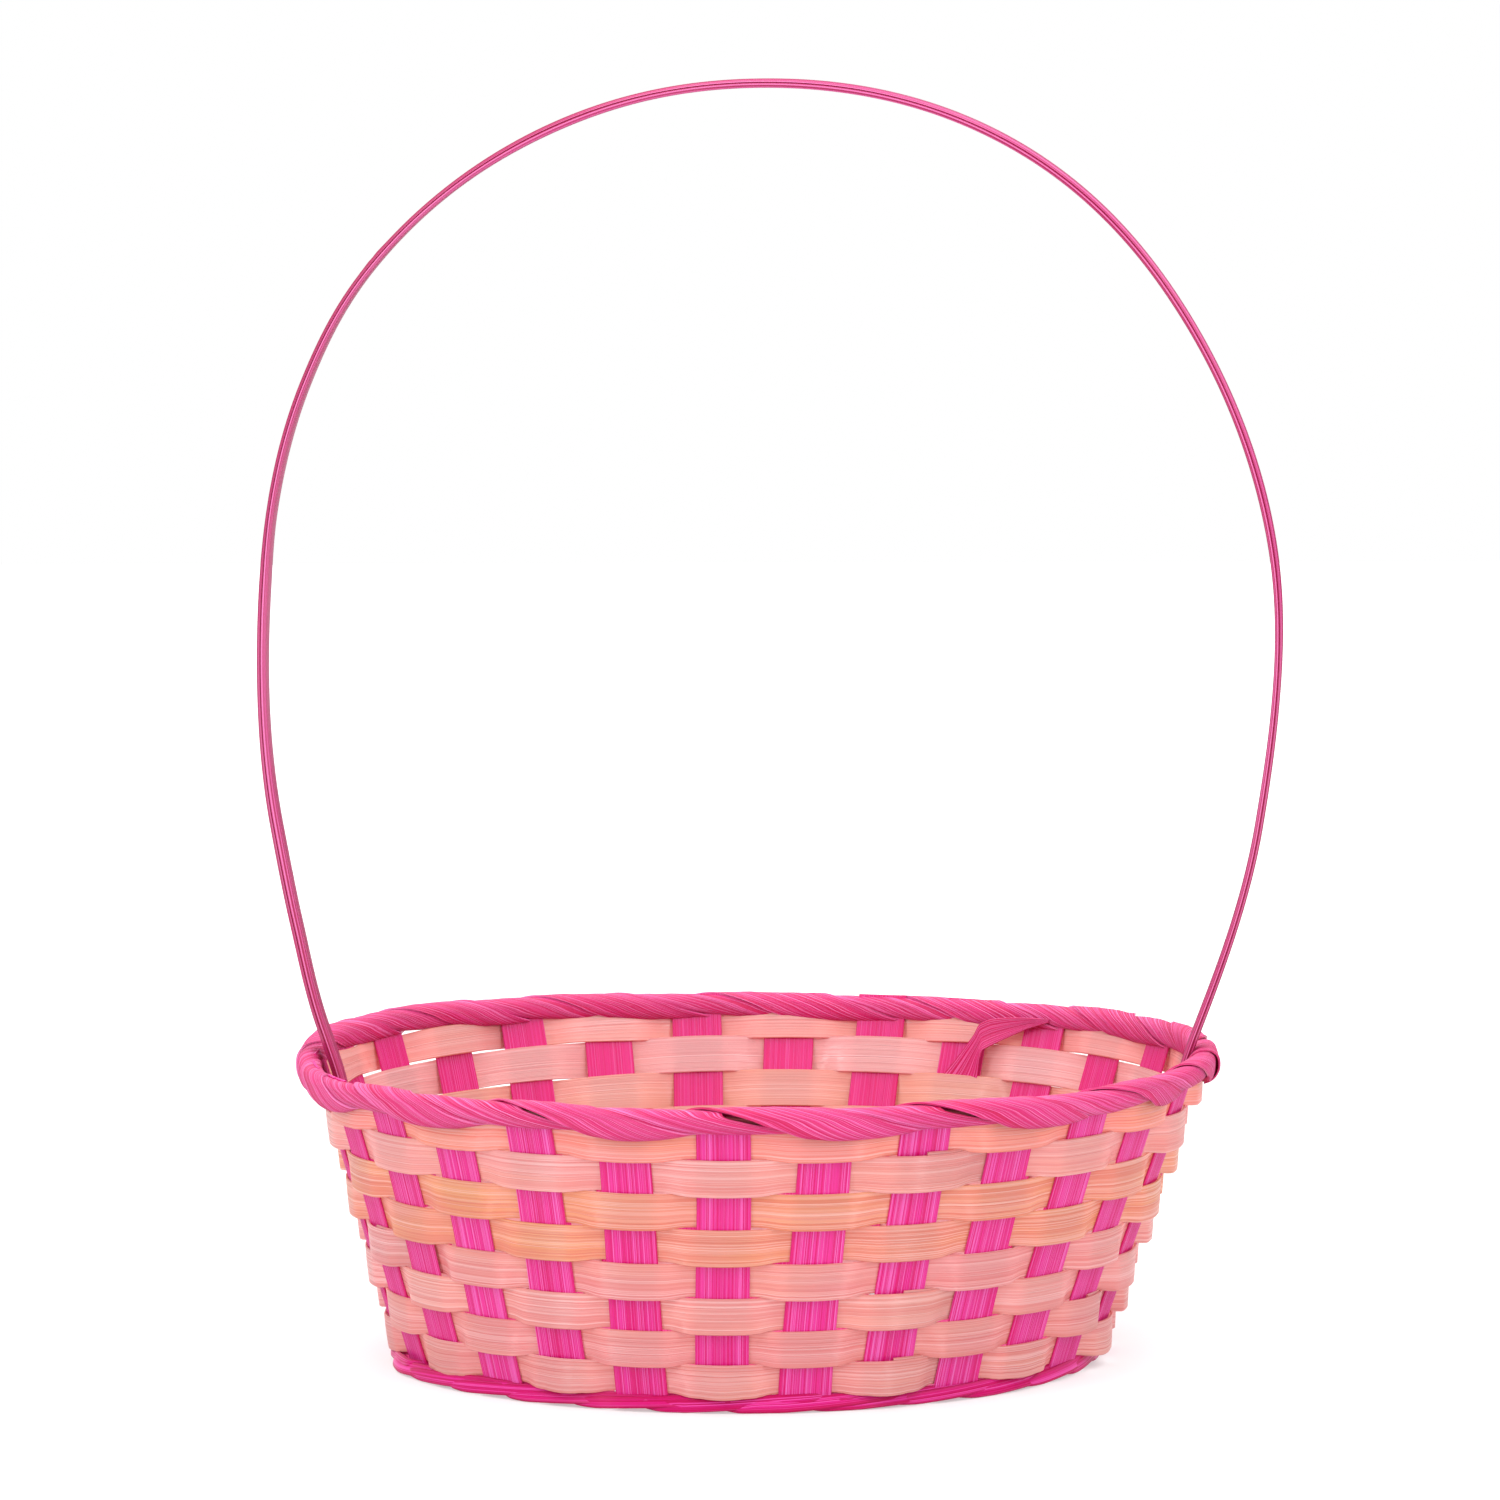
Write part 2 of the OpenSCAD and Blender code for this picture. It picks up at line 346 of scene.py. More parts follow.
def wood(name, base, tint, lines=1.0, contrast=1.0, glow=0.16, rough=0.42, bump=0.5, shine=0.3):
    """Dyed split wood: fine fibres along the strip, soft bands and a slow change of dye."""
    made = bpy.data.materials.new(name)
    made.use_nodes = True
    tree = made.node_tree
    tree.nodes.clear()
    uv = tree.nodes.new("ShaderNodeUVMap")
    uv.uv_map = "grain"
    grain = uv.outputs["UV"]

    fibre = grain_noise(tree, grain, lines * 0.95, 0.0015, 1, 1)
    hair = grain_noise(tree, grain, lines * 1.9, 0.0035, 1, 2)
    broad = grain_noise(tree, grain, 0.20, 0.004, 1, 3)
    slow = grain_noise(tree, grain, 0.05, 0.016, 2, 4)

    deep, thin, pale = dye(base, 1.45), dye(base, 0.66), dye(base, 0.40)
    colour = mixed(tree, "MIX", band(tree, slow, 0.40, 0.62), base, tint)
    colour = mixed(tree, "MIX", band(tree, broad, 0.50, 0.32, 0.35 * contrast), colour, deep)
    colour = mixed(tree, "MIX", band(tree, broad, 0.52, 0.70, 0.30 * contrast), colour, thin)
    colour = mixed(tree, "MIX", band(tree, hair, 0.46, 0.30, 0.75 * contrast), colour, deep)
    colour = mixed(tree, "MIX", band(tree, hair, 0.54, 0.72, 0.75 * contrast), colour, thin)
    dark_line = fibre_lines(tree, fibre, 0.47, 0.060)
    light_line = fibre_lines(tree, fibre, 0.58, 0.055)
    colour = mixed(tree, "MIX", math_node(tree, "MULTIPLY", dark_line, 0.60 * contrast), colour, deep)
    colour = mixed(tree, "MIX", math_node(tree, "MULTIPLY", light_line, 0.55 * contrast), colour, pale)

    # Painted light and shade from the tones map: its first channel mixes in the pale colour, for bare
    # undyed edges, painted highlights and painted light, and its second mixes in the deep colour, for
    # painted shade.
    tone_map = tree.nodes.new("ShaderNodeUVMap")
    tone_map.uv_map = "tones"
    tone = tree.nodes.new("ShaderNodeSeparateXYZ")
    tree.links.new(tone_map.outputs["UV"], tone.inputs[0])
    colour = mixed(tree, "MIX", math_node(tree, "MULTIPLY", tone.outputs[0], 0.8), colour, pale)
    colour = mixed(tree, "MIX", math_node(tree, "MULTIPLY", tone.outputs[1], 0.8), colour, deep)

    height = math_node(tree, "ADD", hair, math_node(tree, "MULTIPLY", light_line, 0.25))
    height = math_node(tree, "SUBTRACT", height, math_node(tree, "MULTIPLY", dark_line, 0.35))
    relief = tree.nodes.new("ShaderNodeBump")
    relief.inputs["Strength"].default_value = bump
    relief.inputs["Distance"].default_value = 0.2 * MM
    tree.links.new(height, relief.inputs["Height"])

    body = tree.nodes.new("ShaderNodeBsdfPrincipled")
    body.inputs["Specular IOR Level"].default_value = shine
    body.inputs["Anisotropic"].default_value = 1.0
    fibre_way = tree.nodes.new("ShaderNodeTangent")
    fibre_way.direction_type = "UV_MAP"
    fibre_way.uv_map = "grain"
    tree.links.new(fibre_way.outputs[0], body.inputs["Tangent"])
    tree.links.new(colour, body.inputs["Base Color"])
    roughness = tree.nodes.new("ShaderNodeMapRange")
    roughness.inputs["From Min"].default_value = 0.3
    roughness.inputs["From Max"].default_value = 0.7
    roughness.inputs["To Min"].default_value = rough + 0.10
    roughness.inputs["To Max"].default_value = rough - 0.10
    tree.links.new(hair, roughness.inputs["Value"])
    tree.links.new(roughness.outputs["Result"], body.inputs["Roughness"])
    tree.links.new(relief.outputs["Normal"], body.inputs["Normal"])
    through = tree.nodes.new("ShaderNodeBsdfTranslucent")
    tree.links.new(colour, through.inputs["Color"])
    blend = tree.nodes.new("ShaderNodeMixShader")
    blend.inputs[0].default_value = glow
    tree.links.new(body.outputs[0], blend.inputs[1])
    tree.links.new(through.outputs[0], blend.inputs[2])
    output = tree.nodes.new("ShaderNodeOutputMaterial")
    tree.links.new(blend.outputs[0], output.inputs["Surface"])
    return made


stake_wood = wood(
    "stake_wood", srgb(230, 32, 146), srgb(238, 52, 157), lines=2.4, contrast=2.0, glow=0.32,
    rough=0.40, shine=0.5,
)
peach_wood = wood(
    "weaver_peach_wood", srgb(227, 152, 152), srgb(231, 162, 150), lines=1.5, glow=0.42,
    rough=0.34, bump=0.6, shine=0.8,
)
# Row 1's wood is redder and warmer than the peach: painted light that makes up for the shade the rim
# casts on the top row.
top_row_painted_light_wood = wood(
    "weaver_cream_wood", srgb(236, 152, 145), srgb(239, 162, 135), lines=1.5, glow=0.42,
    rough=0.34, bump=0.6, shine=0.8,
)
pale_wood = wood(
    "weaver_pale_wood", srgb(229, 158, 156), srgb(233, 168, 156), lines=1.5, glow=0.42,
    rough=0.32, bump=0.6, shine=0.9,
)
orange_wood = wood(
    "weaver_orange_wood", srgb(227, 152, 136), srgb(231, 165, 116), lines=1.5, contrast=1.1, glow=0.42,
    rough=0.36, bump=0.6, shine=0.8,
)
binding_wood = wood(
    "binding_wood", srgb(214, 38, 118), srgb(220, 58, 128), lines=2.3, contrast=1.7, glow=0.2,
    rough=0.42, bump=0.8, shine=0.45,
)
twine_wood = wood(
    "twine_wood", srgb(194, 12, 106), srgb(200, 26, 118), lines=1.5, contrast=1.2, glow=0.1,
    shine=0.15,
)
hoop_wood = wood(
    "hoop_wood", srgb(150, 60, 70), srgb(120, 40, 52), lines=1.2, contrast=0.8, glow=0.02,
)
bamboo = wood(
    "handle_bamboo", srgb(166, 30, 92), srgb(173, 50, 101), lines=1.0, contrast=1.0, glow=0.0,
    rough=0.36, shine=0.4,
)


# ------------------------------------------------------------------------ weavers

WEAVER_W = 11.1

# For each row from the top: the stake at which its ends lap, and its wood.
LAP_STAKES = (17, 2, 11, 20, 23, 2, 5, 2)
ROW_WOODS = (
    top_row_painted_light_wood, pale_wood, orange_wood, orange_wood,
    peach_wood, pale_wood, peach_wood, peach_wood,
)
ORANGE_ROWS = (3, 4)

# How far each row stands above its even place, in mm.
ROW_LIFTS = (0.3, 0.8, 0.8, 0.8, 0.8, 1.1, 1.4, 2.1)

# By stake, on the right: how far the even rows bulge there, in mm, and how strongly, from
# 0 to 1, all rows stand more upright there.
ROW_SWELLS = {5: 0.2, 6: 0.5, 7: 0.7, 8: 0.5, 9: 0.2}
MORE_UPRIGHT = {5: 0.5, 6: 1.0, 7: 1.0, 8: 1.0, 9: 0.5}


def weave_wave(x, flat):
    """1 over even places, -1 over odd ones, flat near them and turning smoothly between."""
    nearest = np.round(x)
    off = np.abs(x - nearest)
    sign = np.where(np.mod(nearest, 2) == 0, 1.0, -1.0)
    turn = np.cos(np.pi / 2 * np.clip((off - flat) / (0.5 - flat), 0, 1))
    return sign * turn


def weaver(row):
    """One weaver strip round the wall, with its two ends lapped."""
    lap = LAP_STAKES[row - 1]
    overlap = 1.22
    stations_per_stake = 14
    places = np.arange(0, STAKES + overlap + 1e-6, 1 / stations_per_stake)
    stake = lap + 0.04 + places
    seed = row * 3.1
    z = row_z(row) + ROW_LIFTS[row - 1] + 0.15 * wanders(seed, places, 3.1)
    pitch = 2 * math.pi * wall_r(row_z(row)) / STAKES
    flat = (STAKE_W / 2 - 1.5) / pitch
    wave = weave_wave(stake + row, flat)
    nearest = np.round(stake)
    near = np.clip(1 - ((stake - nearest) / flat) ** 2, 0, 1)
    bulge = 0.28 + 0.14 * wanders(seed + 1, nearest, 1.7)
    off = WEAVE_OFF * wave + bulge * near * np.sign(wave)

    # Outside a stake the strip stands more upright than the wall, its lower edge proud.
    upright = (0.55 + 0.4 * around(MORE_UPRIGHT, stake)) * smooth(wave, -0.7, 1.0)
    lean = WALL_LEAN * (1 - upright)
    off = off + 1.4 * upright
    if row % 2 == 0:
        off = off + around(ROW_SWELLS, stake) * smooth(wave, -0.3, 1.0)

    # In the lap the end lies outside the start: the start gives way inside the basket.
    step = WEAVER_T + 0.06
    started = 1 - smooth(places, overlap, overlap + 0.5)
    off = off - step * started * (1 - wave) / 2
    ending = smooth(places, STAKES - 0.5, STAKES - 0.1)
    off = off + step * ending * (1 + wave) / 2
    z = z + 0.5 * (1 - smooth(places, 0, 0.9)) + 0.2 * ending

    # At the back sides the strips are narrower, most of all the top one, and light shows
    # between the rows.
    side = np.abs(np.sin(stake * STAKE_ANGLE)) * smooth(-np.cos(stake * STAKE_ANGLE), -0.1, 0.5)
    slack = 0.9 * smooth(side, 0.25, 0.7) * (0.85 + 0.5 * wanders(seed + 4, places, 0.9))
    slack = slack * (1 - 0.6 * smooth(np.sin(stake * STAKE_ANGLE), 0.0, 0.4))
    if row == 1:
        slack = slack + 1.7 * smooth(side, 0.3, 0.6)
    behind = smooth(-np.cos(stake * STAKE_ANGLE), 0.0, 0.6)
    width = WEAVER_W + 0.55 * behind + 0.1 * wave ** 2 + 0.10 * wanders(seed + 2, places, 2.3) - slack
    width = width + 0.5 * started

    # The bottom row is narrower, and prouder where it passes outside a stake.
    if row == ROWS:
        proud = near * (wave > 0)
        width = width - 0.8 + 0.4 * proud
        z = z - 0.1 * proud
        off = off + 0.3 * proud
    up, out = ring_frame(stake, lean)
    wall_out = ring_frame(stake, WALL_LEAN)[1]
    centres = ring_point(stake, wall_r(z), z) + off[:, None] * wall_out
    sections = [flat_section(w, WEAVER_T, 0.10, 9) for w in width]
    along = places * pitch
    return make_piece(
        f"woven_weaver_row_{row}",
        *sweep(centres, up, out, sections, along, shift=(row * 61.7, row * 1131.3)),
        ROW_WOODS[row - 1],
        "weaver_orange" if row in ORANGE_ROWS else "weaver_peach",
        (f"weaver_row_{row}",),
        # Painted light: the weavers' faces inside the basket are made paler, standing in for the light
        # that fills it.
        ring_tones(len(places), flat_tones([(0, 0)] * 8, (0.5, 0))),
    )


# ------------------------------------------------------------------- stake strips

# How far the rim stands above its even tilt, and outside its circle, at some stakes.
RIM_LEVELS = {-14: -0.8, -13: 0.2, -12: 0.6, -11: 1.9, -10: 2.6, -9: 3.3, -8: 2.4, -7: -0.2, -6: -2.2,
              -5: -2.0, -4: -0.9, -3: -0.3, 3: -0.3, 4: -1.1, 5: -0.2, 8: 0.7, 9: 0.9, 10: 0.3,
              12: -1.1, 13: -0.7}
RIM_SWELLS = {-9: 0.8, -8: 1.8, -7: 2.0, -6: 0.8}

# The strips leave the wall at WALL_FOOT_Z, reach the floor at FOOT_R and turn towards the
# weave over the next FLOOR_TURN. The floor's lower layer has its middle at FLOOR_LOW, and
# the upper one FLOOR_STEP above it.
FOOT_R = WALL_R0 - 3.2
FLOOR_TURN = 16.0
FLOOR_LOW = 0.5
FLOOR_STEP = 1.02
WALL_FOOT_Z = 4.5


def floor_place(number):
    """Distance of a floor strip from the middle line."""
    a = (number - 4) * STAKE_ANGLE
    return FOOT_R * math.sin(a) - FLOOR_TURN * 0.32 * math.sin(a)


def stake_spine(number, turned):
    """Centre points of a strip from one end to the other, before a quarter turn if any."""
    a = (number - 4) * STAKE_ANGLE
    x = floor_place(number)
    places = [floor_place(i) for i in range(1, STRIPS_EACH_WAY + 1)]

    def half(side):
        angle = a if side < 0 else math.pi - a
        radial = np.array([math.sin(angle), -math.cos(angle), 0])
        points = []
        top = STAKE_END + max(0.0, float(around(RIM_LEVELS, angle / STAKE_ANGLE + 7 * turned)))
        for z in np.linspace(top, WALL_FOOT_Z, 30):
            points.append(radial * wall_r(z) + np.array([0, 0, z]))
        corner = radial * wall_r(FLOOR_LOW) + np.array([0, 0, FLOOR_LOW])
        start = radial * wall_r(WALL_FOOT_Z) + np.array([0, 0, WALL_FOOT_Z])
        end = radial * FOOT_R + np.array([0, 0, FLOOR_LOW])
        for t in np.linspace(0, 1, 9)[1:]:
            points.append((1 - t) ** 2 * start + 2 * t * (1 - t) * corner + t * t * end)
        goal = np.array([x, side * (abs(end[1]) - FLOOR_TURN), FLOOR_LOW])
        middle = end - radial * FLOOR_TURN * 0.5
        for t in np.linspace(0, 1, 7)[1:]:
            points.append((1 - t) ** 2 * end + 2 * t * (1 - t) * middle + t * t * goal)
        return points

    front = half(-1)
    back = half(1)
    y0, y1 = front[-1][1], back[-1][1]
    flat = []
    for y in np.linspace(y0, y1, 90)[1:-1]:
        height = 0.0
        for j, place in enumerate(places):
            near = 1 - smooth(abs(y - place), STAKE_W / 2 - 1.2, STAKE_W / 2 + 2.2)
            over = (number + j + 1) % 2 == turned
            height = max(height, near * (1.0 if over else 0.0))
        flat.append(np.array([x, y, FLOOR_LOW + FLOOR_STEP * height]))
    return np.array(front + flat + back[::-1])


def stake_strip(number):
    """One strip: up one wall, across the woven floor and up the opposite wall."""
    side_to_side = number > STRIPS_EACH_WAY
    index = number - STRIPS_EACH_WAY if side_to_side else number
    points = stake_spine(index, int(side_to_side))
    forward = np.gradient(points, axis=0)
    forward /= np.linalg.norm(forward, axis=1)[:, None]

    # The strip's upper face is its inner one on the wall and its top one on the floor.
    count = len(points)
    across = np.zeros_like(points)
    for i in range(count):
        flat_forward = forward[i] * np.array([1, 1, 0])
        if points[i][2] > 4.4:
            side = -1 if i < count / 2 else 1
            radial = points[i] * np.array([1, 1, 0])
            flat_forward = radial * (1 if side > 0 else -1)
        flat_forward /= np.linalg.norm(flat_forward)
        across[i] = np.cross(flat_forward, [0, 0, 1])
    out = np.cross(across, forward)
    out /= np.linalg.norm(out, axis=1)[:, None]
    if side_to_side:
        turned = [np.stack([-v[:, 1], v[:, 0], v[:, 2]], 1) for v in (points, across, out)]
        points, across, out = turned
    along = np.concatenate([[0], np.cumsum(np.linalg.norm(np.diff(points, axis=0), axis=1))])
    width = STAKE_W + 0.18 * wanders(number + 40.2, along, 60)
    sections = [flat_section(w, STAKE_T, -0.24, 9) for w in width]
    return make_piece(
        f"woven_stake_strip_{number:02d}",
        *sweep(points, across, out, sections, along, shift=(number * 43.9, number * 977.7)),
        stake_wood,
        "stake_wood",
        (f"stake_strip_{number:02d}",),
        # Painted shade: the strip's faces inside the basket and its narrow edges are deepened towards
        # the deep dye.
        ring_tones(count, flat_tones([(0, 0.6)] * 8, (0, 0), (0, 0.6))),
    )


# ------------------------------------------------------------------- foot twining

# How far the twine stands outside its circle at some stakes, in mm: inside if negative.
FOOT_SWELLS = {-7: -1.2, -6: 0.8, -5: 2.6, -4: 1.8, -3: 0.3, 5: -0.4, 6: -1.6, 7: -2.4, 8: -1.6}
SLIP_START = -1.42
SLIP_END = 1.30
SLIP_STATIONS = 46


def twine_slip(stake_number, strand):
    """One flat slip of the foot twining: outside two stakes, rising, and in at both ends."""
    place = np.linspace(SLIP_START, SLIP_END, SLIP_STATIONS)
    seed = stake_number * 3.7
    stake = stake_number + 0.25 + place
    pitch = 2 * math.pi * wall_r(2) / STAKES
    width = 3.9 + 0.6 * wander(seed, 0.3, 1) + 0.3 * wanders(seed + 0.4, place, 0.8)
    width = width * (0.25 + 0.75 * smooth(place, SLIP_START, -0.75))
    width = width * (1 - 0.45 * smooth(place, 0.3, SLIP_END))
    off = -1.3 + 3.5 * smooth(place, -1.40, -1.02) - 1.2 * smooth(place, -0.7, 0.6)
    off = off - 2.4 * smooth(place, 0.80, 1.26) + 0.15 * wanders(seed + 1, place, 0.7)
    off = off + around(FOOT_SWELLS, stake) * smooth(off, -0.5, 1.0)
    z = 1.5 + 1.25 * (place + 1) + 0.3 * wander(seed + 2, 0.7, 1)
    z = np.maximum(z, width / 2 - 0.2)
    lean = 0.30 + 0.25 * wander(seed + 3, 0.2, 1) + 0.15 * place
    up, out = ring_frame(stake, 0.0)
    tip_up = np.cos(lean)[:, None] * up - np.sin(lean)[:, None] * out
    tip_out = np.cos(lean)[:, None] * out + np.sin(lean)[:, None] * up
    centres = ring_point(stake, wall_r(z), z) + off[:, None] * out
    sections = [flat_section(w, 0.8, 0.22, 7) for w in width]
    return sweep(centres, tip_up, tip_out, sections, place * pitch,
                 shift=(seed * 17, strand * 500 + seed * 131))


def twine_strand(strand):
    """One strand of the foot twining: the slips at every second stake."""
    slips = [twine_slip(number, strand) for number in range(strand, STAKES, 2)]
    points, faces, grain = joined(slips)
    # Painted shade: each slip darkens towards its edges, and it is dark on its narrow sides and on its
    # face against the wall, where it tucks under the others.
    tones = flat_tones([(0, 0.9), (0, 0.1), (0, 0), (0, 0), (0, 0.1), (0, 0.9)], (0, 1), (0, 1))
    return make_piece(
        f"twisted_foot_twine_{strand + 1}", points, faces, grain, twine_wood, "twine_wood",
        (f"foot_twine_{strand + 1}",),
        np.tile(ring_tones(SLIP_STATIONS, tones), (len(slips), 1)),
    )


def joined(parts):
    """Points, faces and grain of several sweeps as one."""
    points = []
    faces = []
    grain = []
    start = 0
    for some_points, some_faces, some_grain in parts:
        points.append(some_points)
        faces += [tuple(index + start for index in face) for face in some_faces]
        grain += some_grain
        start += len(some_points)
    return np.concatenate(points), faces, grain


# ------------------------------------------------------------------ rim wrapping

# RIM_TILT is how far the rim's front stands above its middle, and its back below it.
# SEAM_TURN is the part of a turn at which a seam crosses the top of the outer face.
WRAP_TURNS = 14
RIM_PITCH = 2 * math.pi * (RIM_R - 4.2) / STAKES
RIM_TILT = 0.9
SEAM_TURN = 0.6

# A seam that stands open does so round OPEN_TURN, just above the outer face's middle.
OPEN_TURN = 0.705
OPEN_SPREAD = 0.105

# Two strips wrap the rim side by side. A seam is numbered with the stake near which it
# crosses the top of the outer face: the upper strip runs from each even seam to the odd
# one after it and lies over both edges of the lower strip. The shifts are in stakes, and
# the gaps, in mm, are where a few even seams stand open.
SEAM_SHIFTS = {-4: -0.34, -3: -0.30, -2: -0.02, -1: -0.12, 0: 0.0, 1: 0.15, 2: 0.07, 3: 0.22, 4: 0.25}
SEAM_GAPS = {-4: 3.0, -2: 5.0, 0: 7.0, 2: 6.0, 4: 2.5, 12: 1.0, -12: 1.0}


def seam_shift(number):
    near = (number + 14) % STAKES - 14
    return SEAM_SHIFTS.get(near, -0.15 + 0.16 * wander(5.5, near, 1.3))


def seam_gap(number):
    return SEAM_GAPS.get((number + 14) % STAKES - 14, 0.0)


def seam_line(turns, number, value):
    """A value of the seams met by a strip at each turn, whose first seam has that number."""
    at = np.arange(-1, WRAP_TURNS + 2)
    return np.interp(turns, at + SEAM_TURN + 0.1, [value(number + 2 * n) for n in at])


def seam_place(turns, number):
    """How far along the rim, in mm, the edge at that seam has come at each turn."""
    shift = seam_line(turns, number, seam_shift)
    return (number + shift) * RIM_PITCH + wrap_advance(turns) - wrap_advance(SEAM_TURN)


def rim_outline(turn):
    """Place on the rim's outline: (outward from the wall's middle, up) and the normal.

    turn is 0 at the bottom, 0.25 on the inner face, 0.5 at the top and 0.75 outside.
    """
    angle = 1.5 * math.pi - 2 * math.pi * turn
    c, s = np.cos(angle), np.sin(angle)
    half_w, half_h = 3.0, HALF_H - 1.0
    power = 0.82
    x = 0.75 + half_w * np.sign(c) * np.abs(c) ** power + WALL_SLOPE * half_h * 0.5 * s
    y = half_h * np.sign(s) * np.abs(s) ** power
    nx = c + 0.25 * np.sign(c) * np.abs(c) ** 1.3
    ny = s + 0.25 * np.sign(s) * np.abs(s) ** 1.3
    size = np.hypot(nx, ny)
    return x, y, nx / size, ny / size


def rim_centre(stake):
    """Radius of the wall's middle at the rim and height of the rim's middle there."""
    level = RIM_Z - 0.3 + RIM_TILT * np.cos(stake * STAKE_ANGLE) + around(RIM_LEVELS, stake)
    return wall_r(RIM_Z) + around(RIM_SWELLS, stake), level


def wrap_advance(turn):
    """How far along the rim a turn has moved, in mm. The faces are the shallow parts."""
    return 2 * RIM_PITCH * turn - 1.3 * np.sin(4 * math.pi * turn)


def binding_strip(upper):
    """Outer and inner points of one of the two strips that wrap the rim side by side."""
    steps = 64
    columns = 15
    turns = np.arange(int((WRAP_TURNS + 0.1) * steps) + 1) / steps
    turn = np.mod(turns, 1)
    first = 8 if upper else 7
    trail = seam_place(turns, first)
    lead = seam_place(turns, first + 1)

    # The strips gather under the rim, where they pass between two stakes.
    gather = np.exp(-((np.minimum(turn, 1 - turn) / 0.07) ** 2))
    trail = trail + 2.0 * gather
    lead = lead - 2.0 * gather + 0.35 * wanders(9.2 + upper, turns, 0.23)
    if not upper:
        trail = trail - 3.0
        opening = np.exp(-(((turn - OPEN_TURN) / OPEN_SPREAD) ** 2))
        gap = seam_line(turns, first + 1, seam_gap) * opening
        lead = lead + 2.5 - gap

    fraction = np.linspace(0, 1, columns)
    x, y, nx, ny = rim_outline(turn)
    along = trail[:, None] + (lead - trail)[:, None] * fraction[None, :]
    stake = along / RIM_PITCH
    arch = np.sin(np.pi * fraction)
    pleat = 0.05 * np.sin(fraction * 17 + 1.7 + upper) + 0.035 * np.sin(fraction * 31 + 0.4)
    if upper:
        profile = 0.72 + 0.46 * arch ** 0.8 + 0.30 * (1 - smooth(fraction, 0, 0.16))
        profile = profile + 0.12 * smooth(fraction, 0.9, 1.0)
    else:
        profile = 0.10 + 0.35 * arch
    lift = (profile + pleat)[None, :] + np.array([
        [0.16 * wander(3.3, 1.9 * float(place), 1.0) for place in row] for row in stake
    ])
    lift = lift * (1 - 0.4 * gather[:, None])
    low = smooth(-y / HALF_H, -0.1, 0.8)[:, None]
    outside = np.where(nx > 0, 1.0, 0.2)[:, None]
    sag = np.sin(np.pi * fraction ** 0.6) ** 0.7
    drop = (-2.1 if upper else -0.2) * low * outside * sag[None, :]

    def surface(extra):
        radial = x[:, None] + (lift + extra) * nx[:, None]
        height = y[:, None] + (lift + extra) * ny[:, None] + drop
        r, level = rim_centre(stake)
        return ring_point(stake, r + radial, level + height)

    return surface(0.0), surface(-BINDING_T), fraction * 13, turns * 68


def rim_wrap():
    """The wrapping of the rim, made of two strips that run side by side."""
    parts = []
    tones = []
    for upper in (False, True):
        outer, inner, u, v = binding_strip(upper)
        strip = thin_strip(outer, inner, u, v, (811.0 + 97 * upper, 300.0 + 411 * upper))
        parts.append(strip[:3])
        tones += strip[3]
    return make_piece(
        "wrapped_rim_binding",
        *joined(parts),
        binding_wood,
        "binding_wood",
        ("rim_binding",),
        tones,
    )


def binding_tail():
    """The loose end of the binding inside: it runs along under the rim and folds down.

    Each corner of its two edges is (stake, height, distance inside the wall).
    """
    upper_edge = [
        (10.90, 87.6, 2.4), (11.15, 87.6, 4.0), (11.40, 87.2, 5.0), (11.60, 86.4, 5.6),
        (11.74, 84.6, 5.6), (11.80, 81.0, 4.8), (11.94, 76.0, 3.2), (12.08, 71.0, 2.2),
        (12.20, 67.0, 1.3), (12.24, 63.8, -0.3),
    ]
    lower_edge = [
        (10.90, 86.4, 2.6), (11.15, 84.0, 3.2), (11.40, 80.6, 3.4), (11.58, 78.0, 3.6),
        (11.66, 76.6, 4.2), (11.67, 75.6, 4.4), (11.69, 73.0, 3.6), (11.71, 69.5, 2.2),
        (11.73, 66.4, 1.3), (11.74, 63.2, -0.3),
    ]
    stations = np.linspace(0, len(upper_edge) - 1, 46)
    index = np.arange(len(upper_edge))

    def edge(corners):
        stake, z, inset = (np.interp(stations, index, [c[i] for c in corners]) for i in range(3))
        return ring_point(stake, wall_r(z) - inset, z)

    first, second = edge(upper_edge), edge(lower_edge)
    kernel = np.array([1, 2, 1]) / 4
    for line in (first, second):
        for axis in range(3):
            line[1:-1, axis] = np.convolve(line[:, axis], kernel, "valid")
    centres = (first + second) / 2
    across = first - second
    width = np.linalg.norm(across, axis=1)
    across /= width[:, None]
    forward = np.gradient(centres, axis=0)
    out = np.cross(across, forward)
    out /= np.linalg.norm(out, axis=1)[:, None]
    out *= np.sign(np.sum(out * (centres * np.array([-1, -1, 0])), axis=1))[:, None]
    across = np.cross(out, np.cross(across, out))
    along = np.concatenate([[0], np.cumsum(np.linalg.norm(np.diff(centres, axis=0), axis=1))])
    curve = -0.06 * (1 - 0.9 * smooth(stations, 5, 8))
    sections = [flat_section(w, 0.5, c * w, 9) for w, c in zip(width, curve)]
    return make_piece(
        "binding_loose_tail", *sweep(centres, -across, out, sections, along, shift=(1911, 70)),
        binding_wood, "binding_wood",
    )


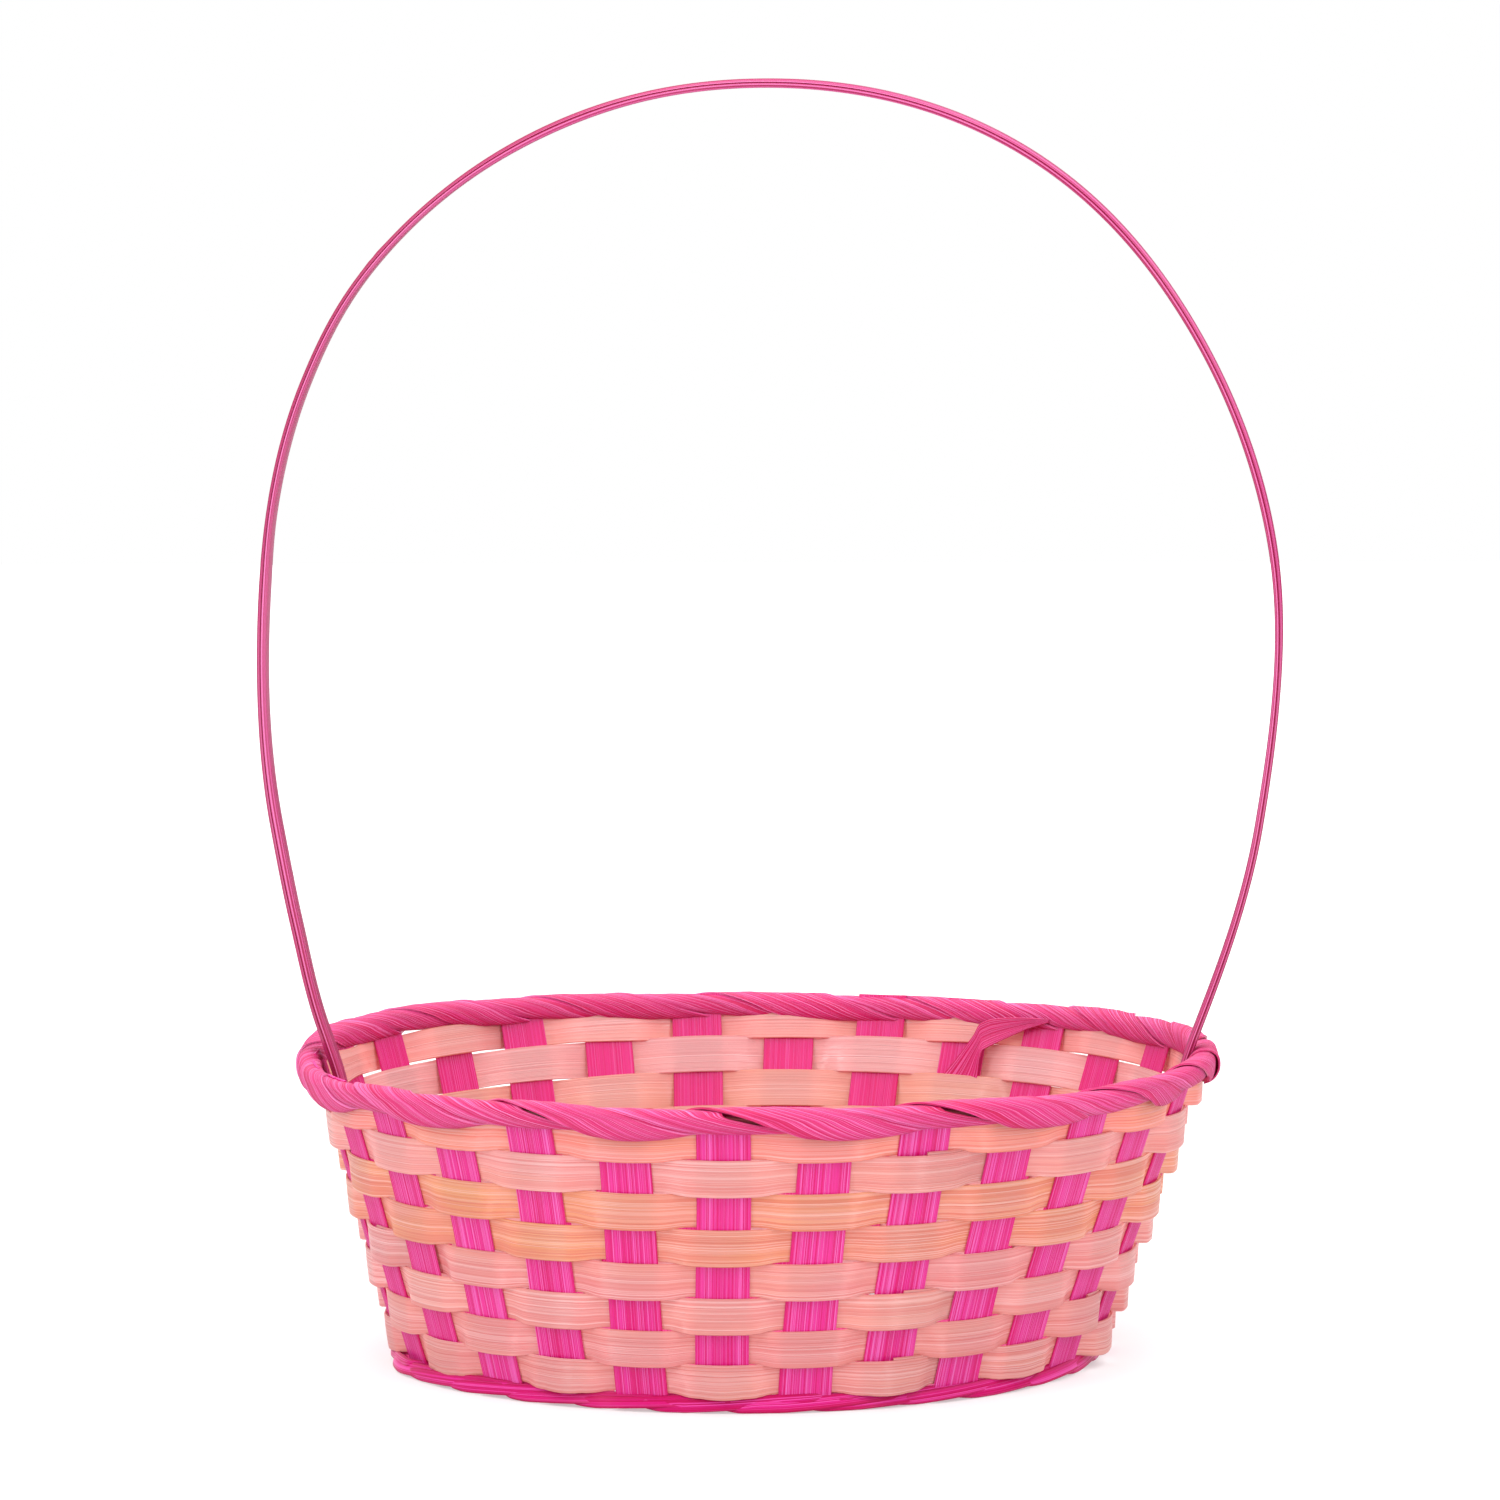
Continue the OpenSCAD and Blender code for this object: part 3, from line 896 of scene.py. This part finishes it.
def binding_curl():
    """The other end of the binding: a short turn over the right end that stands proud."""
    steps = 40
    columns = 13
    turn = np.linspace(0.28, 0.97, steps)
    fraction = np.linspace(0, 1, columns)
    grow = smooth(turn, 0.45, 0.8)
    trail = (6.62 + 0.10 * smooth(turn, 0.28, 0.7)) * RIM_PITCH
    stake = (trail[:, None] + (24 - 3 * grow[:, None]) * fraction[None, :]) / RIM_PITCH
    x, y, nx, ny = rim_outline(turn)
    near = 1 - smooth(fraction, 0.0, 0.55)
    lift = 1.25 + 0.25 * grow[:, None] + near[None, :] * (0.15 + 1.0 * grow[:, None])
    lift = lift + 0.06 * np.sin(fraction * 21)[None, :]

    def surface(extra):
        radial = x[:, None] + (lift + extra) * nx[:, None]
        height = y[:, None] + (lift + extra) * ny[:, None]
        r, level = rim_centre(stake)
        return ring_point(stake, r + radial, level + height)

    points, faces, grain, tones = thin_strip(
        surface(0.0), surface(-0.5), fraction * 14, turn * 40, (1500.0, 90.0)
    )
    return make_piece(
        "binding_curled_end", points, faces, grain, binding_wood, "binding_wood", (), tones
    )


def thin_strip(outer, inner, u, v, shift):
    """A thin closed strip between two grids of points of the same shape.

    Its fourth result is the corners' tones: pale on its leading edge and its ends, which show
    bare undyed wood with a painted highlight on it.
    """
    rows, columns = outer.shape[:2]
    points = np.concatenate([outer.reshape(-1, 3), inner.reshape(-1, 3)])
    base = rows * columns
    faces = []
    grain = []
    tones = []
    u = np.asarray(u) + shift[0]
    v = np.asarray(v) + shift[1]

    def quad(corners, uvs, bare_wood_and_highlight=0.0):
        faces.append(corners)
        grain.extend(uvs)
        tones.extend([(bare_wood_and_highlight, 0.0)] * 4)

    for i in range(rows - 1):
        for j in range(columns - 1):
            a, b = i * columns + j, i * columns + j + 1
            c, d = (i + 1) * columns + j + 1, (i + 1) * columns + j
            spot = [(u[j], v[i]), (u[j + 1], v[i]), (u[j + 1], v[i + 1]), (u[j], v[i + 1])]
            quad((a, d, c, b), [spot[0], spot[3], spot[2], spot[1]])
            far = [(p + 77.7, q) for p, q in spot]
            quad((base + a, base + b, base + c, base + d), far)
        for j, flip in ((0, False), (columns - 1, True)):
            # Painted highlight: the leading edge is pale, as bare undyed wood with light caught on it.
            bare_wood_and_highlight = 1.0 if flip else 0.0
            a, d = i * columns + j, (i + 1) * columns + j
            ring = (a, base + a, base + d, d)
            spot = [(u[j], v[i]), (u[j] - 0.6, v[i]), (u[j] - 0.6, v[i + 1]), (u[j], v[i + 1])]
            if flip:
                ring = ring[::-1]
                spot = spot[::-1]
            quad(ring, spot, bare_wood_and_highlight)
    for i, flip in ((0, False), (rows - 1, True)):
        for j in range(columns - 1):
            a, b = i * columns + j, i * columns + j + 1
            ring = (a, b, base + b, base + a)
            spot = [(u[j], v[i]), (u[j + 1], v[i]), (u[j + 1], v[i] - 0.6), (u[j], v[i] - 0.6)]
            if flip:
                ring = ring[::-1]
                spot = spot[::-1]
            # The ends are pale too: bare undyed wood with a painted highlight.
            quad(ring, spot, 1.0)
    return points, faces, grain, tones


def rim_hoop(name, off, thick, node_name, seed):
    """A thin natural hoop on one side of the stake ends, under the wrapping."""
    stake = np.arange(0, STAKES, 0.25)
    up, out = ring_frame(stake, WALL_LEAN)
    r, z = rim_centre(stake)
    centres = ring_point(stake, r + off, z)
    sections = [flat_section(3.6, thick, 0.1, 5) for _ in stake]
    pitch = 2 * math.pi * wall_r(RIM_Z) / STAKES
    return make_piece(
        name,
        *sweep(centres, up, out, sections, stake * pitch, shift=(seed, seed * 3), closed=True),
        hoop_wood,
        "hoop_wood",
        (node_name,),
    )


# ------------------------------------------------------------------------- handle


def handle_edge():
    """Points on the outer edge from the left leg's tip over the top to the right one's."""
    bend_z = RIM_Z - 2
    tip_x = wall_r(LEG_TIP_Z) - (STAKE_T / 2 + 0.05) / math.cos(WALL_LEAN)
    wide = HANDLE_R
    bend_x = wide - LEG_CURVE * (HANDLE_WIDE_Z - bend_z) ** 2
    right = [(tip_x + (bend_x - tip_x) * t, LEG_TIP_Z + (bend_z - LEG_TIP_Z) * t)
             for t in np.linspace(0, 1, 12)[:-1]]
    right += [(wide - LEG_CURVE * (HANDLE_WIDE_Z - z) ** 2, z)
              for z in np.linspace(bend_z, HANDLE_WIDE_Z, 40)]
    tall = HANDLE_TOP - HANDLE_WIDE_Z
    for a in np.linspace(0, math.pi / 2, 90)[1:]:
        right.append((
            wide * max(math.cos(a), 0) ** (2 / ARCH_POWER),
            HANDLE_WIDE_Z + tall * math.sin(a) ** (2 / ARCH_POWER),
        ))
    left = [(-x, z) for x, z in right[:-1]]
    edge = np.array(left + right[::-1])
    length = np.concatenate([[0], np.cumsum(np.linalg.norm(np.diff(edge, axis=0), axis=1))])
    even = np.linspace(0, length[-1], 420)
    x = np.interp(even, length, edge[:, 0])
    z = np.interp(even, length, edge[:, 1])
    kernel = np.ones(9) / 9
    for _ in range(2):
        x[4:-4] = np.convolve(x, kernel, "valid")
        z[4:-4] = np.convolve(z, kernel, "valid")
    return x, z, even


# Faces round the handle's section: the grooves carry painted shade, and so does the face under
# each side's ridge; the ridge on each side is pale, bare wood with a painted highlight.
HANDLE_TONES = (
    [(0, 0)] + [(0, 0), (0, 0.6), (0, 0.6)] * 2 + [(0, 0), (0, 0)]
    + [(0, 1), (0, 1), (0, 0), (0.9, 0), (0, 0.5)] + [(0, 0)] * 4
    + [(0, 0.5), (0.9, 0), (0, 0), (0, 1), (0, 1)]
)


def handle_section(width, thick, groove, node_lift):
    """Outline of the split-bamboo strip: bevelled, with two long grooves outside.

    Each narrow side has a groove and, under it, a low ridge, pale as bare wood with a painted
    highlight.
    """
    half = width / 2
    bevel = min(0.9, 0.35 * thick)
    top = thick / 2
    outer = [(-half, top - 1.1 * bevel), (-half + bevel, top)]
    for middle in (-0.36 * half, 0.30 * half):
        outer += [(middle - 0.55, top), (middle, top - groove), (middle + 0.55, top)]
    outer += [(half - bevel, top), (half, top - 1.1 * bevel)]
    high, low = top - 1.1 * bevel, -top + 0.5 * bevel
    tall = high - low
    side = [(half - groove, high - 0.14 * tall), (half, high - 0.28 * tall),
            (half + 0.05, high - 0.42 * tall), (half + 0.05, high - 0.68 * tall), (half, low)]
    inner = [(half - 0.5 * bevel, -top), (0.0, -top - 0.05), (-half + 0.5 * bevel, -top)]
    far_side = [(-x, y) for x, y in side[::-1]]
    section = np.array(outer + side + inner + far_side)
    section[1:9, 1] += node_lift
    return section


def handle():
    """The bamboo hoop: thinner at some places, a little twisted, with one node."""
    x, z, along = handle_edge()
    points = np.stack([x, np.zeros_like(x), z], 1)
    forward = np.gradient(points, axis=0)
    forward /= np.linalg.norm(forward, axis=1)[:, None]
    out = np.stack([-forward[:, 2], np.zeros_like(x), forward[:, 0]], 1)
    across = np.tile([0.0, -1.0, 0.0], (len(x), 1))
    slim = smooth(z, LEG_TIP_Z, RIM_Z - 2)
    thin = 0.4 * smooth(x, 0, 90) * (1 - 0.6 * smooth(z, 190, 290))
    thin = thin + 0.5 * smooth(-x, 60, 110) * smooth(z, 230, 255)
    thick = 1.0 + (HANDLE_T - thin - 1.0) * slim
    thick = thick + 0.12 * wanders(21.0, along, 45) * slim
    centres = points - out * (thick / 2)[:, None]
    centres[:, 1] += 0.5 * wanders(22.0, along, 90)
    centres[:, 0] += 0.9 * smooth(-x, 60, 110) * smooth(z, 98, 130) * (1 - smooth(z, 295, 330))
    width = HANDLE_W - 0.4 + 0.25 * wanders(23.0, along, 70)

    # The node is a low swelling with a narrow groove in its middle.
    from_node = along - 0.349 * along[-1]
    swelling = 0.18 * np.exp(-((from_node / 3.6) ** 2))
    lift = swelling - 0.22 * np.exp(-((from_node / 0.7) ** 2))
    twist = 0.03 * wanders(24.0, along, 120)
    c, s = np.cos(twist)[:, None], np.sin(twist)[:, None]
    across, out = c * across + s * out, c * out - s * across
    sections = [
        handle_section(w, t, 0.28 * k, n) for w, t, k, n in zip(width, thick, slim, lift)
    ]
    return make_piece(
        "bamboo_handle",
        *sweep(centres, across, out, sections, along, shift=(3000, 5000)),
        bamboo,
        "handle_bamboo",
        ("handle",),
        ring_tones(len(x), HANDLE_TONES),
    )


# ----------------------------------------------------------------------- assembly

for strip_number in range(1, 2 * STRIPS_EACH_WAY + 1):
    stake_strip(strip_number)
for row_number in range(1, ROWS + 1):
    weaver(row_number)
for strand_number in (0, 1):
    twine_strand(strand_number)
rim_wrap()
binding_tail()
binding_curl()
rim_hoop("hidden_rim_hoop_outer", 1.9, 1.5, "rim_hoop_outer", 410)
rim_hoop("hidden_rim_hoop_inner", -0.8, 0.6, "rim_hoop_inner", 530)
handle()


# ------------------------------------------------------------- floor, light, camera


def studio_world():
    """A white room, brighter overhead, that the camera sees as plain white."""
    world = bpy.data.worlds.new("studio_world")
    world.use_nodes = True
    tree = world.node_tree
    place = tree.nodes.new("ShaderNodeTexCoord")
    height = tree.nodes.new("ShaderNodeSeparateXYZ")
    tree.links.new(place.outputs["Generated"], height.inputs[0])
    level = tree.nodes.new("ShaderNodeMapRange")
    level.inputs["From Min"].default_value = 0.1
    level.inputs["From Max"].default_value = 0.9
    level.inputs["To Min"].default_value = 0.45
    level.inputs["To Max"].default_value = 2.90
    tree.links.new(height.outputs[2], level.inputs["Value"])
    path = tree.nodes.new("ShaderNodeLightPath")
    seen = tree.nodes.new("ShaderNodeMix")
    tree.links.new(path.outputs["Is Camera Ray"], seen.inputs[0])
    tree.links.new(level.outputs["Result"], seen.inputs[2])
    seen.inputs[3].default_value = 1.0
    back = tree.nodes["Background"]
    back.inputs["Color"].default_value = (1, 1, 1, 1)
    tree.links.new(seen.outputs[0], back.inputs["Strength"])
    bpy.context.scene.world = world


def studio():
    """White paper under the basket, two upright lamps in front and the white room."""
    scene = bpy.context.scene
    scene.view_settings.view_transform = "Standard"
    mesh = bpy.data.meshes.new("studio_floor")
    size = 3.0
    level = -0.0004
    corners = [(-size, -size, level), (size, -size, level), (size, size, level), (-size, size, level)]
    mesh.from_pydata(corners, [], [(0, 1, 2, 3)])
    floor = bpy.data.objects.new("studio_floor", mesh)
    scene.collection.objects.link(floor)
    paper = bpy.data.materials.new("studio_paper")
    paper.use_nodes = True
    body = paper.node_tree.nodes["Principled BSDF"]
    body.inputs["Base Color"].default_value = (0.45, 0.45, 0.45, 1)
    body.inputs["Roughness"].default_value = 0.9
    body.inputs["Specular IOR Level"].default_value = 0.0
    body.inputs["Emission Color"].default_value = (1, 1, 1, 1)
    body.inputs["Emission Strength"].default_value = 0.45
    mesh.materials.append(paper)
    studio_world()

    lights = (
        ("key_left", (-1.5, -1.5, 0.7), 0.12, 1.5, 15),
        ("key_right", (1.5, -1.5, 0.7), 0.12, 1.5, 13),
    )
    aim = Vector((0, 0, 0.12))
    for name, place, wide, tall, power in lights:
        data = bpy.data.lights.new(name, "AREA")
        data.shape = "RECTANGLE"
        data.size = wide
        data.size_y = tall
        data.energy = power
        lamp = bpy.data.objects.new(name, data)
        lamp.location = place
        lamp.rotation_euler = (aim - Vector(place)).to_track_quat("-Z", "Y").to_euler()
        scene.collection.objects.link(lamp)


def camera():
    """The photograph's view: azimuth turns the camera round the basket from the front."""
    distance = 2.500
    side = 0.00129
    height = 0.4388
    pitch = math.radians(5.841)
    roll = math.radians(-0.472)
    azimuth = math.radians(4.44)
    data = bpy.data.cameras.new("camera")
    data.sensor_width = 36
    data.lens = 199.6
    data.clip_end = 50
    cam = bpy.data.objects.new("camera", data)
    place = Vector((
        side * math.cos(azimuth) + distance * math.sin(azimuth),
        side * math.sin(azimuth) - distance * math.cos(azimuth),
        height,
    ))
    turn = Matrix.Rotation(azimuth, 4, "Z") @ Matrix.Rotation(math.pi / 2 - pitch, 4, "X")
    turn = turn @ Matrix.Rotation(roll, 4, "Z")
    cam.matrix_world = Matrix.Translation(place) @ turn
    bpy.context.scene.collection.objects.link(cam)
    bpy.context.scene.camera = cam


studio()
camera()
